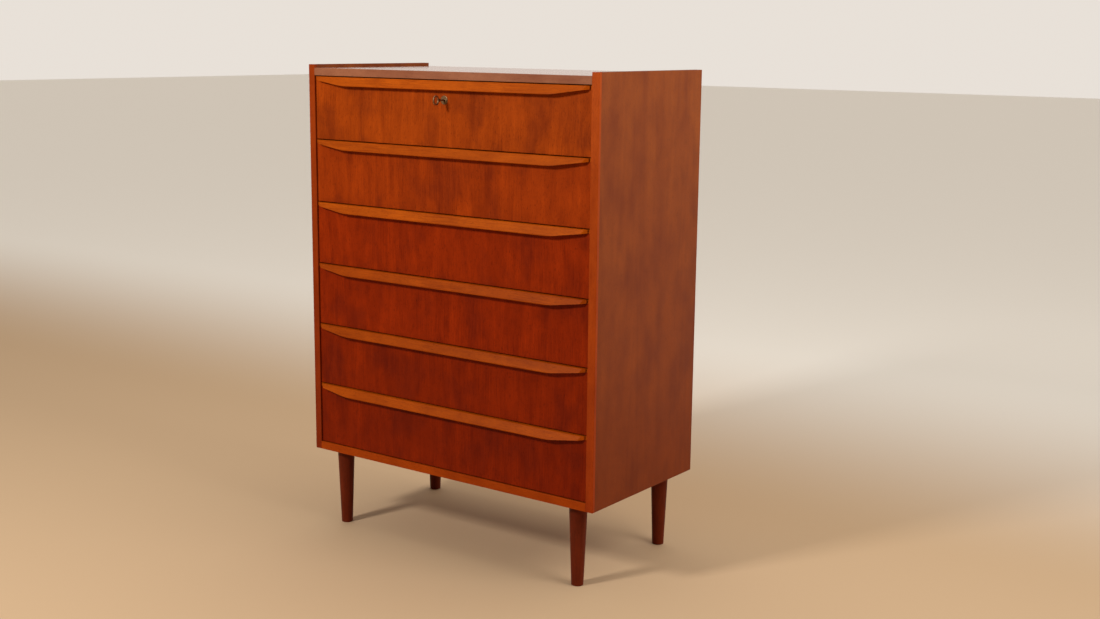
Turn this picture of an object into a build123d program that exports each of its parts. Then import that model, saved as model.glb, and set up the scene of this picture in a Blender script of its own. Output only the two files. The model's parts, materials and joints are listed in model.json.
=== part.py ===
from build123d import *
from math import atan2, cos, sin
import os

# Tall chest of six drawers on four turned legs, in millimetres.
# +Z is up, +X is to the right of a person who faces the front, and the drawers pull out along -Y.
# The origin is on the floor, at the middle of the whole object's footprint.

# ---- driving dimensions ----------------------------------------------------------------------
WIDTH = 840.0               # carcass, outside
DEPTH = 416.0               # carcass, front edge to back edge
SIDE_HEIGHT = 948.0         # side panels, which stand a little above the top
LEG_HEIGHT = 190.0
SIDE_T = 19.0               # side panel thickness
BOTTOM_T = 19.0
TOP_T = 18.0
TOP_DROP = 8.0              # top surface below the side panels' top edges
LIPPING_D = 8.0             # solid edging glued to the front of each carcass board
DRAWERS = 6
GAP = 2.0                   # between drawer fronts, and above and below them
SIDE_GAP = 1.5              # drawer front to side panel
FRONT_SETBACK = 3.5         # drawer faces behind the carcass's front plane
KEY_REACH = 38.0            # key's bow ahead of the drawer face

# ---- carcass places that follow --------------------------------------------------------------
FRONT = (KEY_REACH - FRONT_SETBACK - DEPTH) / 2     # carcass front plane, y
REAR = FRONT + DEPTH
FACE = FRONT + FRONT_SETBACK                        # drawer faces, y
OUTER_X = WIDTH / 2
INNER_X = OUTER_X - SIDE_T
BASE = LEG_HEIGHT                                   # underside of the carcass
SIDE_TOP = BASE + SIDE_HEIGHT
TOP_Z = SIDE_TOP - TOP_DROP                         # top surface
OPENING_LOW = BASE + BOTTOM_T
OPENING_HIGH = TOP_Z - TOP_T
CORE_FRONT = FRONT + LIPPING_D                      # where a board meets its lipping
EDGE_ROUND = 1.5                                    # outer front corners
SOFT_EDGE = 0.8                                     # sanded arrises
SLOT_W = 0.8                                        # driver slots across screw heads
SLOT_D = 0.8

# ---- back panel and its rebate ---------------------------------------------------------------
BACK_T = 4.0
REBATE_D = 5.0
REBATE_W = 9.5
BACK_FRONT = REAR - REBATE_D
BACK_LOW = BASE + REBATE_W
BACK_HIGH = TOP_Z - TOP_DROP
BACK_FIT = 0.5                                      # panel is this much smaller than its rebate
BACK_SCREW = (3.4, 2.0, 1.5, 15.0)                  # head radius and height, shank radius, length
BACK_SCREW_X = INNER_X + REBATE_W / 2
BACK_SCREW_SPREAD = 200.0                           # between screws along the top and bottom edges
BACK_SCREW_INSET = 5.0                              # end screws inside the panel's edges
BACK_SCREWS_UP = 5

# ---- legs and their fixings ------------------------------------------------------------------
LEG_X = 355.0
LEG_FRONT_Y = FRONT + 40.0
LEG_REAR_Y = REAR - 35.0
LEG_TOP_R = 21.0
LEG_FOOT_R = 13.8
LEG_CHAMFER = 1.2
BOLT_R = 4.0
BOLT_IN_LEG = 42.0
BOLT_IN_CARCASS = 16.0
INSERT_R = 6.0
INSERT_H = 17.0
INSERT_FLANGE_R = 9.0
INSERT_FLANGE_H = 1.5

# ---- dowels ----------------------------------------------------------------------------------
DOWEL_R = 4.0
DOWEL_IN_SIDE = 12.0
DOWEL_IN_BOARD = 18.0
DOWELS_PER_JOINT = 5
DOWEL_FIRST_Y = FRONT + 42.0
DOWEL_PITCH_Y = 83.0

# ---- drawers ---------------------------------------------------------------------------------
FRONT_H = (OPENING_HIGH - OPENING_LOW - (DRAWERS + 1) * GAP) / DRAWERS
PITCH = FRONT_H + GAP
FRONT_T = 18.0
FRONT_HALF = INNER_X - SIDE_GAP                     # half the front's width
BOX_HALF = INNER_X - 2.5                            # outer face of a drawer side
BOX_T = 12.0
BOX_DEPTH = 385.0                                   # drawer face to the rear end of its sides
BOX_LIFT = 6.0                                      # drawer side above the front's lower edge
BOX_H = 120.0
BOX_EDGE_R = 1.5                                    # rounded top edges of a drawer's sides
TAIL_LENGTH = 12.0
TAILS = 3
TAIL_PITCH = 40.0
TAIL_WIDE = 26.0
TAIL_NARROW = 20.0
DRAWER_BACK_T = 10.0
DRAWER_BACK_INSET = 10.0                            # back to the sides' rear ends
BACK_DROP = 8.0                                     # back's top edge below the sides'
BACK_EDGE_R = 1.0
HOUSING_D = 4.0
PLY_T = 4.0
PLY_FIT = 0.1
GROOVE_D = 5.0
PLY_LIFT = 14.0                                     # groove above the front's lower edge

# ---- runners ---------------------------------------------------------------------------------
RUNNER_T = 8.0
RUNNER_H = 11.4
RUNNER_GROOVE_H = 12.0
RUNNER_GROOVE_D = 7.0
RUNNER_LIFT = 66.0                                  # groove centre above the front's lower edge
RUNNER_START = 40.3                                 # runner's front end behind the drawer face
GROOVE_START = 40.0                                 # stopped end of the groove, the drawer's stop
RUNNER_END = REAR - 16.0
RUNNER_FACE = INNER_X - RUNNER_T
RUNNER_SCREW_Y = (FRONT + 82.0, FRONT + 350.0)
RUNNER_SCREW = (3.2, 2.4, 1.7, 19.0)                # head radius and height, shank radius, length

# ---- handle: a solid strip along the top of each front ----------------------------------------
ROOT_H = 8.0                                        # strip over the top of the veneered board
LIP_H = 21.0
LIP_TOP_OUT = 7.0                                   # top edge ahead of the drawer face
LIP_OUT = 18.0                                      # lower edge ahead of the drawer face
LIP_T = 4.6
LIP_ROOT_OUT = 4.6
LIP_EDGE_R = 1.9                                    # lower edge
LIP_TOP_R = 2.0                                     # upper front edge
HOLLOW_DROP = 0.6                                   # finger hollow's roof slopes down by this
HOLLOW_R = 2.5
LIP_END = 395.5                                     # half length of the part ahead of the face
END_H = 7.5                                         # height left at each end of the lip
TAPER_X = 318.0                                     # straight part of the taper starts here
TAPER_H = 18.2
TAPER_RUN_OUT = 0.3                                 # curve into the taper ends below the lip's edge
FACET_X = 9.0                                       # facet at the lip's end, along X
FACET_Y = 6.3
FACET_OUT = 3.0                                     # what stands ahead of the face at the very end

# ---- lock ------------------------------------------------------------------------------------
LOCK_DROP = 43.0                                    # keyhole below the top of the drawer
LOCK_HALF = 26.0
LOCK_D = 10.0
LOCK_BELOW = 18.0                                   # case below the keyhole
LOCK_WALL = 1.5
EAR_X = 34.0
LOCK_SCREW = (2.8, 1.8, 1.4, 11.0)                  # head radius and height, shank radius, length
LOCK_SCREW_LOW = 6.0                                # lower screws above the case's lower edge
LOCK_SCREW_HIGH = 22.0                              # upper screws above the keyhole
KEY_R = 2.0
KEYHOLE_R = 2.6
KEYHOLE_SLOT = 8.0
KEY_TIP = 15.6                                      # shaft's end behind the drawer face
BOW_LENGTH = 19.0                                   # ring, along the key
BOW_HEIGHT = 22.0
BOW_RING = 3.2                                      # width of the ring's metal
BOW_T = 2.8
KEY_COLLAR_R = 3.2
KEY_COLLAR_L = 2.4
KEY_COLLAR_GAP = 2.0                                # collar's middle behind the bow's inner end
BIT_REACH = 7.0
BIT_T = 2.0
BIT_START = 9.6                                     # bit's front edge behind the drawer face
BIT_DEPTH = 5.0
PLATE_R = 10.0
PLATE_T = 1.0
PLATE_SINK = 0.3                                    # plate is let into the veneer by this
PLATE_EDGE_R = 0.7
COLLAR_R = 4.6
COLLAR_D = 3.0
BOLT_W = 22.0
BOLT_T = 3.5
BOLT_BACK = 14.75                                   # bolt's rear face behind the drawer face
BOLT_CLEAR = 0.4                                    # slot is wider than the bolt by this
BOLT_THROW = 8.0
BOLT_REST = 0.5                                     # bolt's top below the drawer's top at rest
BOLT_MORTISE = BOLT_THROW + 1.0
BOLT_CHAMFER = 0.6


def block(x, y, z, mode=Mode.ADD):
    """Add or cut a rectangular block that spans the (low, high) pair given for each axis."""
    spans = (x, y, z)
    with Locations(tuple((low + high) / 2 for low, high in spans)):
        Box(*(high - low for low, high in spans), mode=mode)


def screws(places, head_r, head_h, shank_r, length, mode=Mode.ADD):
    """Add or cut countersunk screws. Each place is a plane on the head, its normal into the wood."""
    foot = (Align.CENTER, Align.CENTER, Align.MIN)
    with Locations(*places):
        Cone(head_r, shank_r, head_h, align=foot, mode=mode)
        Cylinder(shank_r, length, align=foot, mode=mode)


def slotted_screws(places, head_r, head_h, shank_r, length):
    """Add countersunk screws with a driver slot across each head."""
    screws(places, head_r, head_h, shank_r, length)
    with Locations(*places):
        Box(3 * head_r, SLOT_W, 2 * SLOT_D, mode=Mode.SUBTRACT)


def drawer_base(number):
    """Height of the lower edge of a drawer's front. Drawer 1 is the top one."""
    return OPENING_LOW + GAP + (DRAWERS - number) * PITCH


os.makedirs("parts", exist_ok=True)

# ---- places shared by mating pieces ----------------------------------------------------------
dowel_ys = [DOWEL_FIRST_Y + i * DOWEL_PITCH_Y for i in range(DOWELS_PER_JOINT)]
dowel_zs = (BASE + BOTTOM_T / 2, TOP_Z - TOP_T / 2)
leg_places = {
    "leg_front_left": (-LEG_X, LEG_FRONT_Y),
    "leg_front_right": (LEG_X, LEG_FRONT_Y),
    "leg_rear_left": (-LEG_X, LEG_REAR_Y),
    "leg_rear_right": (LEG_X, LEG_REAR_Y),
}
LOCK_Z = drawer_base(1) + FRONT_H - LOCK_DROP
LOCK_LOW = LOCK_Z - LOCK_BELOW
lock_screw_planes = [
    Plane(origin=(side * (LOCK_HALF + EAR_X) / 2, FACE + FRONT_T + LOCK_WALL, z), z_dir=(0, -1, 0))
    for side in (-1, 1)
    for z in (LOCK_LOW + LOCK_SCREW_LOW, LOCK_Z + LOCK_SCREW_HIGH)
]
runner_screw_planes = [
    Plane(origin=(side * RUNNER_FACE, y, drawer_base(n) + RUNNER_LIFT), z_dir=(side, 0, 0))
    for side in (-1, 1)
    for n in range(1, DRAWERS + 1)
    for y in RUNNER_SCREW_Y
]
back_row_low = BACK_LOW + BACK_SCREW_INSET
back_row_high = BACK_HIGH - BACK_SCREW_INSET
back_rows = [back_row_low + i * (back_row_high - back_row_low) / (BACK_SCREWS_UP - 1)
             for i in range(BACK_SCREWS_UP)]
back_screw_spots = [(side * BACK_SCREW_X, z) for side in (-1, 1) for z in back_rows]
back_screw_spots += [(i * BACK_SCREW_SPREAD, z)
                     for i in (-1, 0, 1) for z in (back_row_low, back_row_high)]
back_screw_planes = [Plane(origin=(x, BACK_FRONT + BACK_T, z), z_dir=(0, -1, 0))
                     for x, z in back_screw_spots]



# ---- carcass boards --------------------------------------------------------------------------
with BuildPart() as side_right:
    block((INNER_X, OUTER_X), (CORE_FRONT, REAR), (BASE, SIDE_TOP))
    fillet(side_right.faces().sort_by(Axis.X)[-1].edges().filter_by(Axis.Y), radius=SOFT_EDGE)
    fillet(side_right.faces().sort_by(Axis.Y)[-1].edges().filter_by(Axis.Z), radius=SOFT_EDGE)
    block((INNER_X, INNER_X + REBATE_W), (BACK_FRONT, REAR), (BACK_LOW, BACK_HIGH), Mode.SUBTRACT)
    with Locations(*[Plane(origin=(INNER_X, y, z), z_dir=(1, 0, 0))
                     for y in dowel_ys for z in dowel_zs]):
        Cylinder(DOWEL_R, DOWEL_IN_SIDE, align=(Align.CENTER, Align.CENTER, Align.MIN),
                 mode=Mode.SUBTRACT)
    screws(runner_screw_planes, *RUNNER_SCREW, mode=Mode.SUBTRACT)
    screws(back_screw_planes, *BACK_SCREW, mode=Mode.SUBTRACT)
side_right.part.label = "side_panel_right"
export_step(side_right.part, "parts/side_panel_right.step")

with BuildPart() as side_left:
    mirror(side_right.part, about=Plane.YZ)
side_left.part.label = "side_panel_left"
export_step(side_left.part, "parts/side_panel_left.step")

with BuildPart() as top:
    block((-INNER_X, INNER_X), (CORE_FRONT, REAR), (TOP_Z - TOP_T, TOP_Z))
    block((-INNER_X, INNER_X), (BACK_FRONT, REAR), (TOP_Z - TOP_T, BACK_HIGH), Mode.SUBTRACT)
    with Locations(*[Plane(origin=(side * INNER_X, y, dowel_zs[1]), z_dir=(-side, 0, 0))
                     for side in (-1, 1) for y in dowel_ys]):
        Cylinder(DOWEL_R, DOWEL_IN_BOARD, align=(Align.CENTER, Align.CENTER, Align.MIN),
                 mode=Mode.SUBTRACT)
    screws(back_screw_planes, *BACK_SCREW, mode=Mode.SUBTRACT)
    # mortise that the thrown lock bolt enters
    half = BOLT_W / 2 + BOLT_CLEAR
    block((-half, half), (FACE + BOLT_BACK - BOLT_T - BOLT_CLEAR, FACE + BOLT_BACK + BOLT_CLEAR),
          (OPENING_HIGH, OPENING_HIGH + BOLT_MORTISE), Mode.SUBTRACT)
top.part.label = "top_panel"
export_step(top.part, "parts/top_panel.step")

with BuildPart() as bottom:
    block((-INNER_X, INNER_X), (CORE_FRONT, REAR), (BASE, OPENING_LOW))
    block((-INNER_X, INNER_X), (BACK_FRONT, REAR), (BACK_LOW, OPENING_LOW), Mode.SUBTRACT)
    with Locations(*[Plane(origin=(side * INNER_X, y, dowel_zs[0]), z_dir=(-side, 0, 0))
                     for side in (-1, 1) for y in dowel_ys]):
        Cylinder(DOWEL_R, DOWEL_IN_BOARD, align=(Align.CENTER, Align.CENTER, Align.MIN),
                 mode=Mode.SUBTRACT)
    screws(back_screw_planes, *BACK_SCREW, mode=Mode.SUBTRACT)
    # pockets for the threaded inserts that take the legs
    with Locations(*[(x, y, BASE) for x, y in leg_places.values()]):
        Cylinder(INSERT_R, INSERT_H, align=(Align.CENTER, Align.CENTER, Align.MIN),
                 mode=Mode.SUBTRACT)
        Cylinder(INSERT_FLANGE_R, INSERT_FLANGE_H, align=(Align.CENTER, Align.CENTER, Align.MIN),
                 mode=Mode.SUBTRACT)
bottom.part.label = "bottom_panel"
export_step(bottom.part, "parts/bottom_panel.step")

with BuildPart() as back:
    half = INNER_X + REBATE_W - BACK_FIT
    block((-half, half), (BACK_FRONT, BACK_FRONT + BACK_T),
          (BACK_LOW + BACK_FIT, BACK_HIGH - BACK_FIT))
    screws(back_screw_planes, *BACK_SCREW, mode=Mode.SUBTRACT)
back.part.label = "back_panel"
export_step(back.part, "parts/back_panel.step")

# ---- lippings: solid edging on the four front edges ------------------------------------------
with BuildPart() as lip_right:
    block((INNER_X, OUTER_X), (FRONT, CORE_FRONT), (BASE, SIDE_TOP))
    fillet(lip_right.faces().sort_by(Axis.Y)[0].edges().filter_by(Axis.Z).sort_by(Axis.X)[-1],
           radius=EDGE_ROUND)
    fillet(lip_right.faces().sort_by(Axis.Y)[0].edges().filter_by(Axis.Z).sort_by(Axis.X)[0],
           radius=SOFT_EDGE)
    fillet(lip_right.faces().sort_by(Axis.Y)[0].edges().filter_by(Axis.X), radius=SOFT_EDGE)
lip_right.part.label = "lipping_right"
export_step(lip_right.part, "parts/lipping_right.step")

with BuildPart() as lip_left:
    mirror(lip_right.part, about=Plane.YZ)
lip_left.part.label = "lipping_left"
export_step(lip_left.part, "parts/lipping_left.step")

for label, low, high in (("lipping_top", TOP_Z - TOP_T, TOP_Z),
                         ("lipping_bottom", BASE, OPENING_LOW)):
    with BuildPart() as rail:
        block((-INNER_X, INNER_X), (FRONT, CORE_FRONT), (low, high))
        fillet(rail.faces().sort_by(Axis.Y)[0].edges().filter_by(Axis.X), radius=SOFT_EDGE)
    rail.part.label = label
    export_step(rail.part, f"parts/{label}.step")

# ---- dowels between the boards ---------------------------------------------------------------
with BuildPart() as dowels:
    span = DOWEL_IN_SIDE + DOWEL_IN_BOARD
    with Locations(*[Plane(origin=(side * (INNER_X - DOWEL_IN_BOARD), y, z), z_dir=(side, 0, 0))
                     for side in (-1, 1) for y in dowel_ys for z in dowel_zs]):
        Cylinder(DOWEL_R, span, align=(Align.CENTER, Align.CENTER, Align.MIN))
dowels.part.label = "carcass_dowels"
export_step(dowels.part, "parts/carcass_dowels.step")

with BuildPart() as back_screws:
    slotted_screws(back_screw_planes, *BACK_SCREW)
back_screws.part.label = "back_panel_screws"
export_step(back_screws.part, "parts/back_panel_screws.step")

# ---- legs ------------------------------------------------------------------------------------
for label, (x, y) in leg_places.items():
    with BuildPart() as leg:
        with Locations((x, y, 0)):
            Cone(LEG_FOOT_R, LEG_TOP_R, LEG_HEIGHT, align=(Align.CENTER, Align.CENTER, Align.MIN))
        chamfer(leg.faces().sort_by(Axis.Z)[0].edges(), length=LEG_CHAMFER)
        with Locations((x, y, LEG_HEIGHT)):
            Cylinder(BOLT_R, BOLT_IN_LEG, align=(Align.CENTER, Align.CENTER, Align.MAX),
                     mode=Mode.SUBTRACT)
    leg.part.label = label
    export_step(leg.part, f"parts/{label}.step")

with BuildPart() as bolts:
    with Locations(*[(x, y, LEG_HEIGHT - BOLT_IN_LEG) for x, y in leg_places.values()]):
        Cylinder(BOLT_R, BOLT_IN_LEG + BOLT_IN_CARCASS,
                 align=(Align.CENTER, Align.CENTER, Align.MIN))
    chamfer(bolts.faces().filter_by(Plane.XY).edges(), length=LEG_CHAMFER)
bolts.part.label = "leg_bolts"
export_step(bolts.part, "parts/leg_bolts.step")

with BuildPart() as inserts:
    with Locations(*[(x, y, BASE) for x, y in leg_places.values()]):
        Cylinder(INSERT_R, INSERT_H, align=(Align.CENTER, Align.CENTER, Align.MIN))
        Cylinder(INSERT_FLANGE_R, INSERT_FLANGE_H, align=(Align.CENTER, Align.CENTER, Align.MIN))
        Cylinder(BOLT_R, INSERT_H, align=(Align.CENTER, Align.CENTER, Align.MIN),
                 mode=Mode.SUBTRACT)
inserts.part.label = "leg_inserts"
export_step(inserts.part, "parts/leg_inserts.step")

# ---- runners and their screws ----------------------------------------------------------------
with BuildPart() as runners:
    for number in range(1, DRAWERS + 1):
        middle = drawer_base(number) + RUNNER_LIFT
        for side in (-1, 1):
            ends = sorted((side * RUNNER_FACE, side * INNER_X))
            block(ends, (FACE + RUNNER_START, RUNNER_END),
                  (middle - RUNNER_H / 2, middle + RUNNER_H / 2))
    screws(runner_screw_planes, *RUNNER_SCREW, mode=Mode.SUBTRACT)
runners.part.label = "drawer_runners"
export_step(runners.part, "parts/drawer_runners.step")

with BuildPart() as runner_screws:
    slotted_screws(runner_screw_planes, *RUNNER_SCREW)
runner_screws.part.label = "runner_screws"
export_step(runner_screws.part, "parts/runner_screws.step")


# ---- drawers ---------------------------------------------------------------------------------
def tail_profiles(base):
    """Outlines of one corner's dovetails, seen from the side, in the YZ plane."""
    wide_y = FACE + FRONT_T - TAIL_LENGTH
    narrow_y = FACE + FRONT_T
    outlines = []
    for i in range(TAILS):
        z = base + BOX_LIFT + TAIL_PITCH * (i + 0.5)
        outlines.append([
            (wide_y, z - TAIL_WIDE / 2),
            (narrow_y, z - TAIL_NARROW / 2),
            (narrow_y, z + TAIL_NARROW / 2),
            (wide_y, z + TAIL_WIDE / 2),
        ])
    return outlines


def dovetails(base, low_x, high_x, mode):
    """Add or cut one corner's dovetails, through the thickness of a drawer side."""
    with BuildSketch(Plane.YZ.offset(low_x)) as tails:
        for outline in tail_profiles(base):
            with BuildLine():
                Polyline(*outline, close=True)
            make_face()
    extrude(tails.sketch, amount=high_x - low_x, mode=mode)


def keyhole(low_y, high_y):
    """Cut a keyhole, a round hole with a slot below it, through the given depth."""
    with BuildSketch(Plane.XZ.offset(-high_y)) as outline:
        with Locations((0, LOCK_Z)):
            Circle(KEYHOLE_R)
        with Locations((0, LOCK_Z - KEYHOLE_SLOT / 2)):
            Rectangle(KEYHOLE_R, KEYHOLE_SLOT)
    extrude(outline.sketch, amount=high_y - low_y, mode=Mode.SUBTRACT)


def build_front(number, base):
    """Veneered board: dovetail sockets at both ends, and a groove for the plywood bottom."""
    board_top = base + FRONT_H - ROOT_H
    behind = FACE + FRONT_T
    with BuildPart() as front:
        block((-FRONT_HALF, FRONT_HALF), (FACE, behind), (base, board_top))
        fillet(front.faces().sort_by(Axis.Y)[0].edges().filter_by(Axis.Z), radius=SOFT_EDGE)
        fillet(front.faces().sort_by(Axis.Y)[0].edges().sort_by(Axis.Z)[0], radius=SOFT_EDGE)
        dovetails(base, BOX_HALF - BOX_T, BOX_HALF, Mode.SUBTRACT)
        dovetails(base, -BOX_HALF, BOX_T - BOX_HALF, Mode.SUBTRACT)
        half = BOX_HALF - BOX_T + GROOVE_D
        block((-half, half), (behind - GROOVE_D, behind),
              (base + PLY_LIFT, base + PLY_LIFT + PLY_T + 2 * PLY_FIT), Mode.SUBTRACT)
        if number == 1:
            block((-LOCK_HALF, LOCK_HALF), (behind - LOCK_D, behind),
                  (LOCK_LOW, board_top), Mode.SUBTRACT)
            keyhole(FACE, behind - LOCK_D)
            with Locations(Plane(origin=(0, FACE, LOCK_Z), z_dir=(0, 1, 0))):
                Cylinder(COLLAR_R, COLLAR_D, align=(Align.CENTER, Align.CENTER, Align.MIN),
                         mode=Mode.SUBTRACT)
                Cylinder(PLATE_R, PLATE_SINK, align=(Align.CENTER, Align.CENTER, Align.MIN),
                         mode=Mode.SUBTRACT)
            screws(lock_screw_planes, *LOCK_SCREW, mode=Mode.SUBTRACT)
    front.part.label = f"drawer_{number}_front"
    export_step(front.part, f"parts/drawer_{number}_front.step")


def build_handle(number, base):
    """Solid strip over the front's top edge, with a lip that hangs down ahead of the face."""
    top_z = base + FRONT_H
    slope_angle = atan2(TAPER_H - END_H, LIP_END - TAPER_X)
    run_out = top_z - LIP_H - TAPER_RUN_OUT
    ease_radius = (LIP_H + TAPER_RUN_OUT - TAPER_H) / (1 - cos(slope_angle))
    flat_x = TAPER_X - ease_radius * sin(slope_angle)
    hollow = (FACE - LIP_ROOT_OUT, top_z - ROOT_H - HOLLOW_DROP)
    with BuildPart() as handle:
        with BuildSketch(Plane.YZ) as section:
            with BuildLine():
                Polyline(
                    (FACE + FRONT_T, top_z),
                    (FACE + FRONT_T, top_z - ROOT_H),
                    (FACE, top_z - ROOT_H),
                    hollow,
                    (FACE - LIP_OUT + LIP_T, top_z - LIP_H),
                    (FACE - LIP_OUT, top_z - LIP_H),
                    (FACE - LIP_TOP_OUT, top_z),
                    close=True,
                )
            make_face()
            fillet(section.vertices().group_by(Axis.Y)[0], radius=LIP_EDGE_R)
            corners = section.vertices().sort_by_distance((FACE - LIP_TOP_OUT, top_z))
            fillet(corners[0], radius=LIP_TOP_R)
            fillet(section.vertices().sort_by_distance(hollow)[0], radius=HOLLOW_R)
        extrude(amount=FRONT_HALF, both=True)
        # each end of the lip: shortened, given a facet, and tapered up from below
        for side in (-1, 1):
            end = side * LIP_END
            block(sorted((end, side * 2 * FRONT_HALF)), (FACE - 2 * LIP_OUT, FACE),
                  (base, top_z), Mode.SUBTRACT)
            with BuildSketch(Plane.XY.offset(base)):
                with BuildLine():
                    Polyline(
                        (end - side * 2 * FACET_X, FACE - FACET_OUT - 2 * FACET_Y),
                        (end, FACE - FACET_OUT),
                        (end, FACE - FACET_OUT - 2 * FACET_Y),
                        close=True,
                    )
                make_face()
            extrude(amount=FRONT_H, mode=Mode.SUBTRACT)
            with BuildSketch(Plane.XZ.offset(-FACE)):
                with BuildLine():
                    slope = Line((end, top_z - END_H), (side * TAPER_X, top_z - TAPER_H))
                    ease = TangentArc(slope @ 1, (side * flat_x, run_out), tangent=slope % 1)
                    Polyline(ease @ 1, (side * flat_x, base), (end, base), slope @ 0)
                make_face()
            extrude(amount=2 * LIP_OUT, mode=Mode.SUBTRACT)
        if number == 1:
            half = BOLT_W / 2 + BOLT_CLEAR
            block((-half, half),
                  (FACE + BOLT_BACK - BOLT_T - BOLT_CLEAR, FACE + BOLT_BACK + BOLT_CLEAR),
                  (top_z - ROOT_H, top_z), Mode.SUBTRACT)
    handle.part.label = f"drawer_{number}_handle"
    export_step(handle.part, f"parts/drawer_{number}_handle.step")


def build_sides(number, base):
    """Drawer side with dovetails, a stopped groove for the runner, and the bottom's groove."""
    inner = BOX_HALF - BOX_T
    low = base + BOX_LIFT
    middle = base + RUNNER_LIFT
    rear = FACE + BOX_DEPTH
    groove = (base + PLY_LIFT, base + PLY_LIFT + PLY_T + 2 * PLY_FIT)
    with BuildPart() as right:
        block((inner, BOX_HALF), (FACE + FRONT_T, rear), (low, low + BOX_H))
        fillet(right.faces().sort_by(Axis.Z)[-1].edges().filter_by(Axis.Y), radius=BOX_EDGE_R)
        dovetails(base, inner, BOX_HALF, Mode.ADD)
        block((BOX_HALF - RUNNER_GROOVE_D, BOX_HALF), (FACE + GROOVE_START, rear),
              (middle - RUNNER_GROOVE_H / 2, middle + RUNNER_GROOVE_H / 2), Mode.SUBTRACT)
        block((inner, inner + GROOVE_D), (FACE + FRONT_T - GROOVE_D, rear), groove, Mode.SUBTRACT)
        block((inner, inner + HOUSING_D),
              (rear - DRAWER_BACK_INSET - DRAWER_BACK_T, rear - DRAWER_BACK_INSET),
              (groove[1], low + BOX_H - BACK_DROP), Mode.SUBTRACT)
    right.part.label = f"drawer_{number}_side_right"
    export_step(right.part, f"parts/drawer_{number}_side_right.step")

    with BuildPart() as left:
        mirror(right.part, about=Plane.YZ)
    left.part.label = f"drawer_{number}_side_left"
    export_step(left.part, f"parts/drawer_{number}_side_left.step")


def build_back(number, base):
    """Drawer back, housed in the sides and standing on the plywood bottom."""
    half = BOX_HALF - BOX_T + HOUSING_D
    rear = FACE + BOX_DEPTH - DRAWER_BACK_INSET
    with BuildPart() as drawer_back:
        block((-half, half), (rear - DRAWER_BACK_T, rear),
              (base + PLY_LIFT + PLY_T + 2 * PLY_FIT, base + BOX_LIFT + BOX_H - BACK_DROP))
        fillet(drawer_back.faces().sort_by(Axis.Z)[-1].edges().filter_by(Axis.X),
               radius=BACK_EDGE_R)
    drawer_back.part.label = f"drawer_{number}_back"
    export_step(drawer_back.part, f"parts/drawer_{number}_back.step")


def build_bottom(number, base):
    """Thin plywood bottom, slid in from behind under the drawer back."""
    half = BOX_HALF - BOX_T + GROOVE_D - PLY_FIT
    with BuildPart() as ply:
        block((-half, half), (FACE + FRONT_T - GROOVE_D + PLY_FIT, FACE + BOX_DEPTH),
              (base + PLY_LIFT + PLY_FIT, base + PLY_LIFT + PLY_FIT + PLY_T))
    ply.part.label = f"drawer_{number}_bottom"
    export_step(ply.part, f"parts/drawer_{number}_bottom.step")


for number in range(1, DRAWERS + 1):
    base = drawer_base(number)
    build_front(number, base)
    build_handle(number, base)
    build_sides(number, base)
    build_back(number, base)
    build_bottom(number, base)

# ---- lock of the top drawer ------------------------------------------------------------------
LOCK_HIGH = drawer_base(1) + FRONT_H - ROOT_H
CASE_BACK = FACE + FRONT_T
CASE_FRONT = CASE_BACK - LOCK_D

with BuildPart() as case:
    block((-LOCK_HALF, LOCK_HALF), (CASE_FRONT, CASE_BACK), (LOCK_LOW, LOCK_HIGH))
    block((LOCK_WALL - LOCK_HALF, LOCK_HALF - LOCK_WALL), (CASE_FRONT, CASE_BACK),
          (LOCK_LOW + LOCK_WALL, LOCK_HIGH - LOCK_WALL), Mode.SUBTRACT)
    # back plate, with an ear for two screws at each side
    block((-EAR_X, EAR_X), (CASE_BACK, CASE_BACK + LOCK_WALL), (LOCK_LOW, LOCK_HIGH))
    half = BOLT_W / 2 + BOLT_CLEAR
    block((-half, half), (FACE + BOLT_BACK - BOLT_T - BOLT_CLEAR, FACE + BOLT_BACK + BOLT_CLEAR),
          (LOCK_HIGH - LOCK_WALL, LOCK_HIGH), Mode.SUBTRACT)
    screws(lock_screw_planes, *LOCK_SCREW, mode=Mode.SUBTRACT)
case.part.label = "lock_case"
export_step(case.part, "parts/lock_case.step")

with BuildPart() as lock_screws:
    slotted_screws(lock_screw_planes, *LOCK_SCREW)
lock_screws.part.label = "lock_screws"
export_step(lock_screws.part, "parts/lock_screws.step")

with BuildPart() as bolt:
    bolt_low = LOCK_Z + BIT_REACH + BOLT_CLEAR
    bolt_high = drawer_base(1) + FRONT_H - BOLT_REST
    block((-BOLT_W / 2, BOLT_W / 2), (FACE + BOLT_BACK - BOLT_T, FACE + BOLT_BACK),
          (bolt_low, bolt_high))
    chamfer(bolt.faces().sort_by(Axis.Z)[-1].edges().filter_by(Axis.X), length=BOLT_CHAMFER)
bolt.part.label = "lock_bolt"
export_step(bolt.part, "parts/lock_bolt.step")

with BuildPart() as plate:
    with Locations(Plane(origin=(0, FACE + PLATE_SINK, LOCK_Z), z_dir=(0, -1, 0))):
        Cylinder(PLATE_R, PLATE_T + PLATE_SINK, align=(Align.CENTER, Align.CENTER, Align.MIN))
    fillet(plate.faces().sort_by(Axis.Y)[0].edges(), radius=PLATE_EDGE_R)
    with Locations(Plane(origin=(0, FACE, LOCK_Z), z_dir=(0, 1, 0))):
        Cylinder(COLLAR_R, COLLAR_D, align=(Align.CENTER, Align.CENTER, Align.MIN))
    keyhole(FACE - PLATE_T, FACE + COLLAR_D)
plate.part.label = "lock_escutcheon"
export_step(plate.part, "parts/lock_escutcheon.step")

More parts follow.
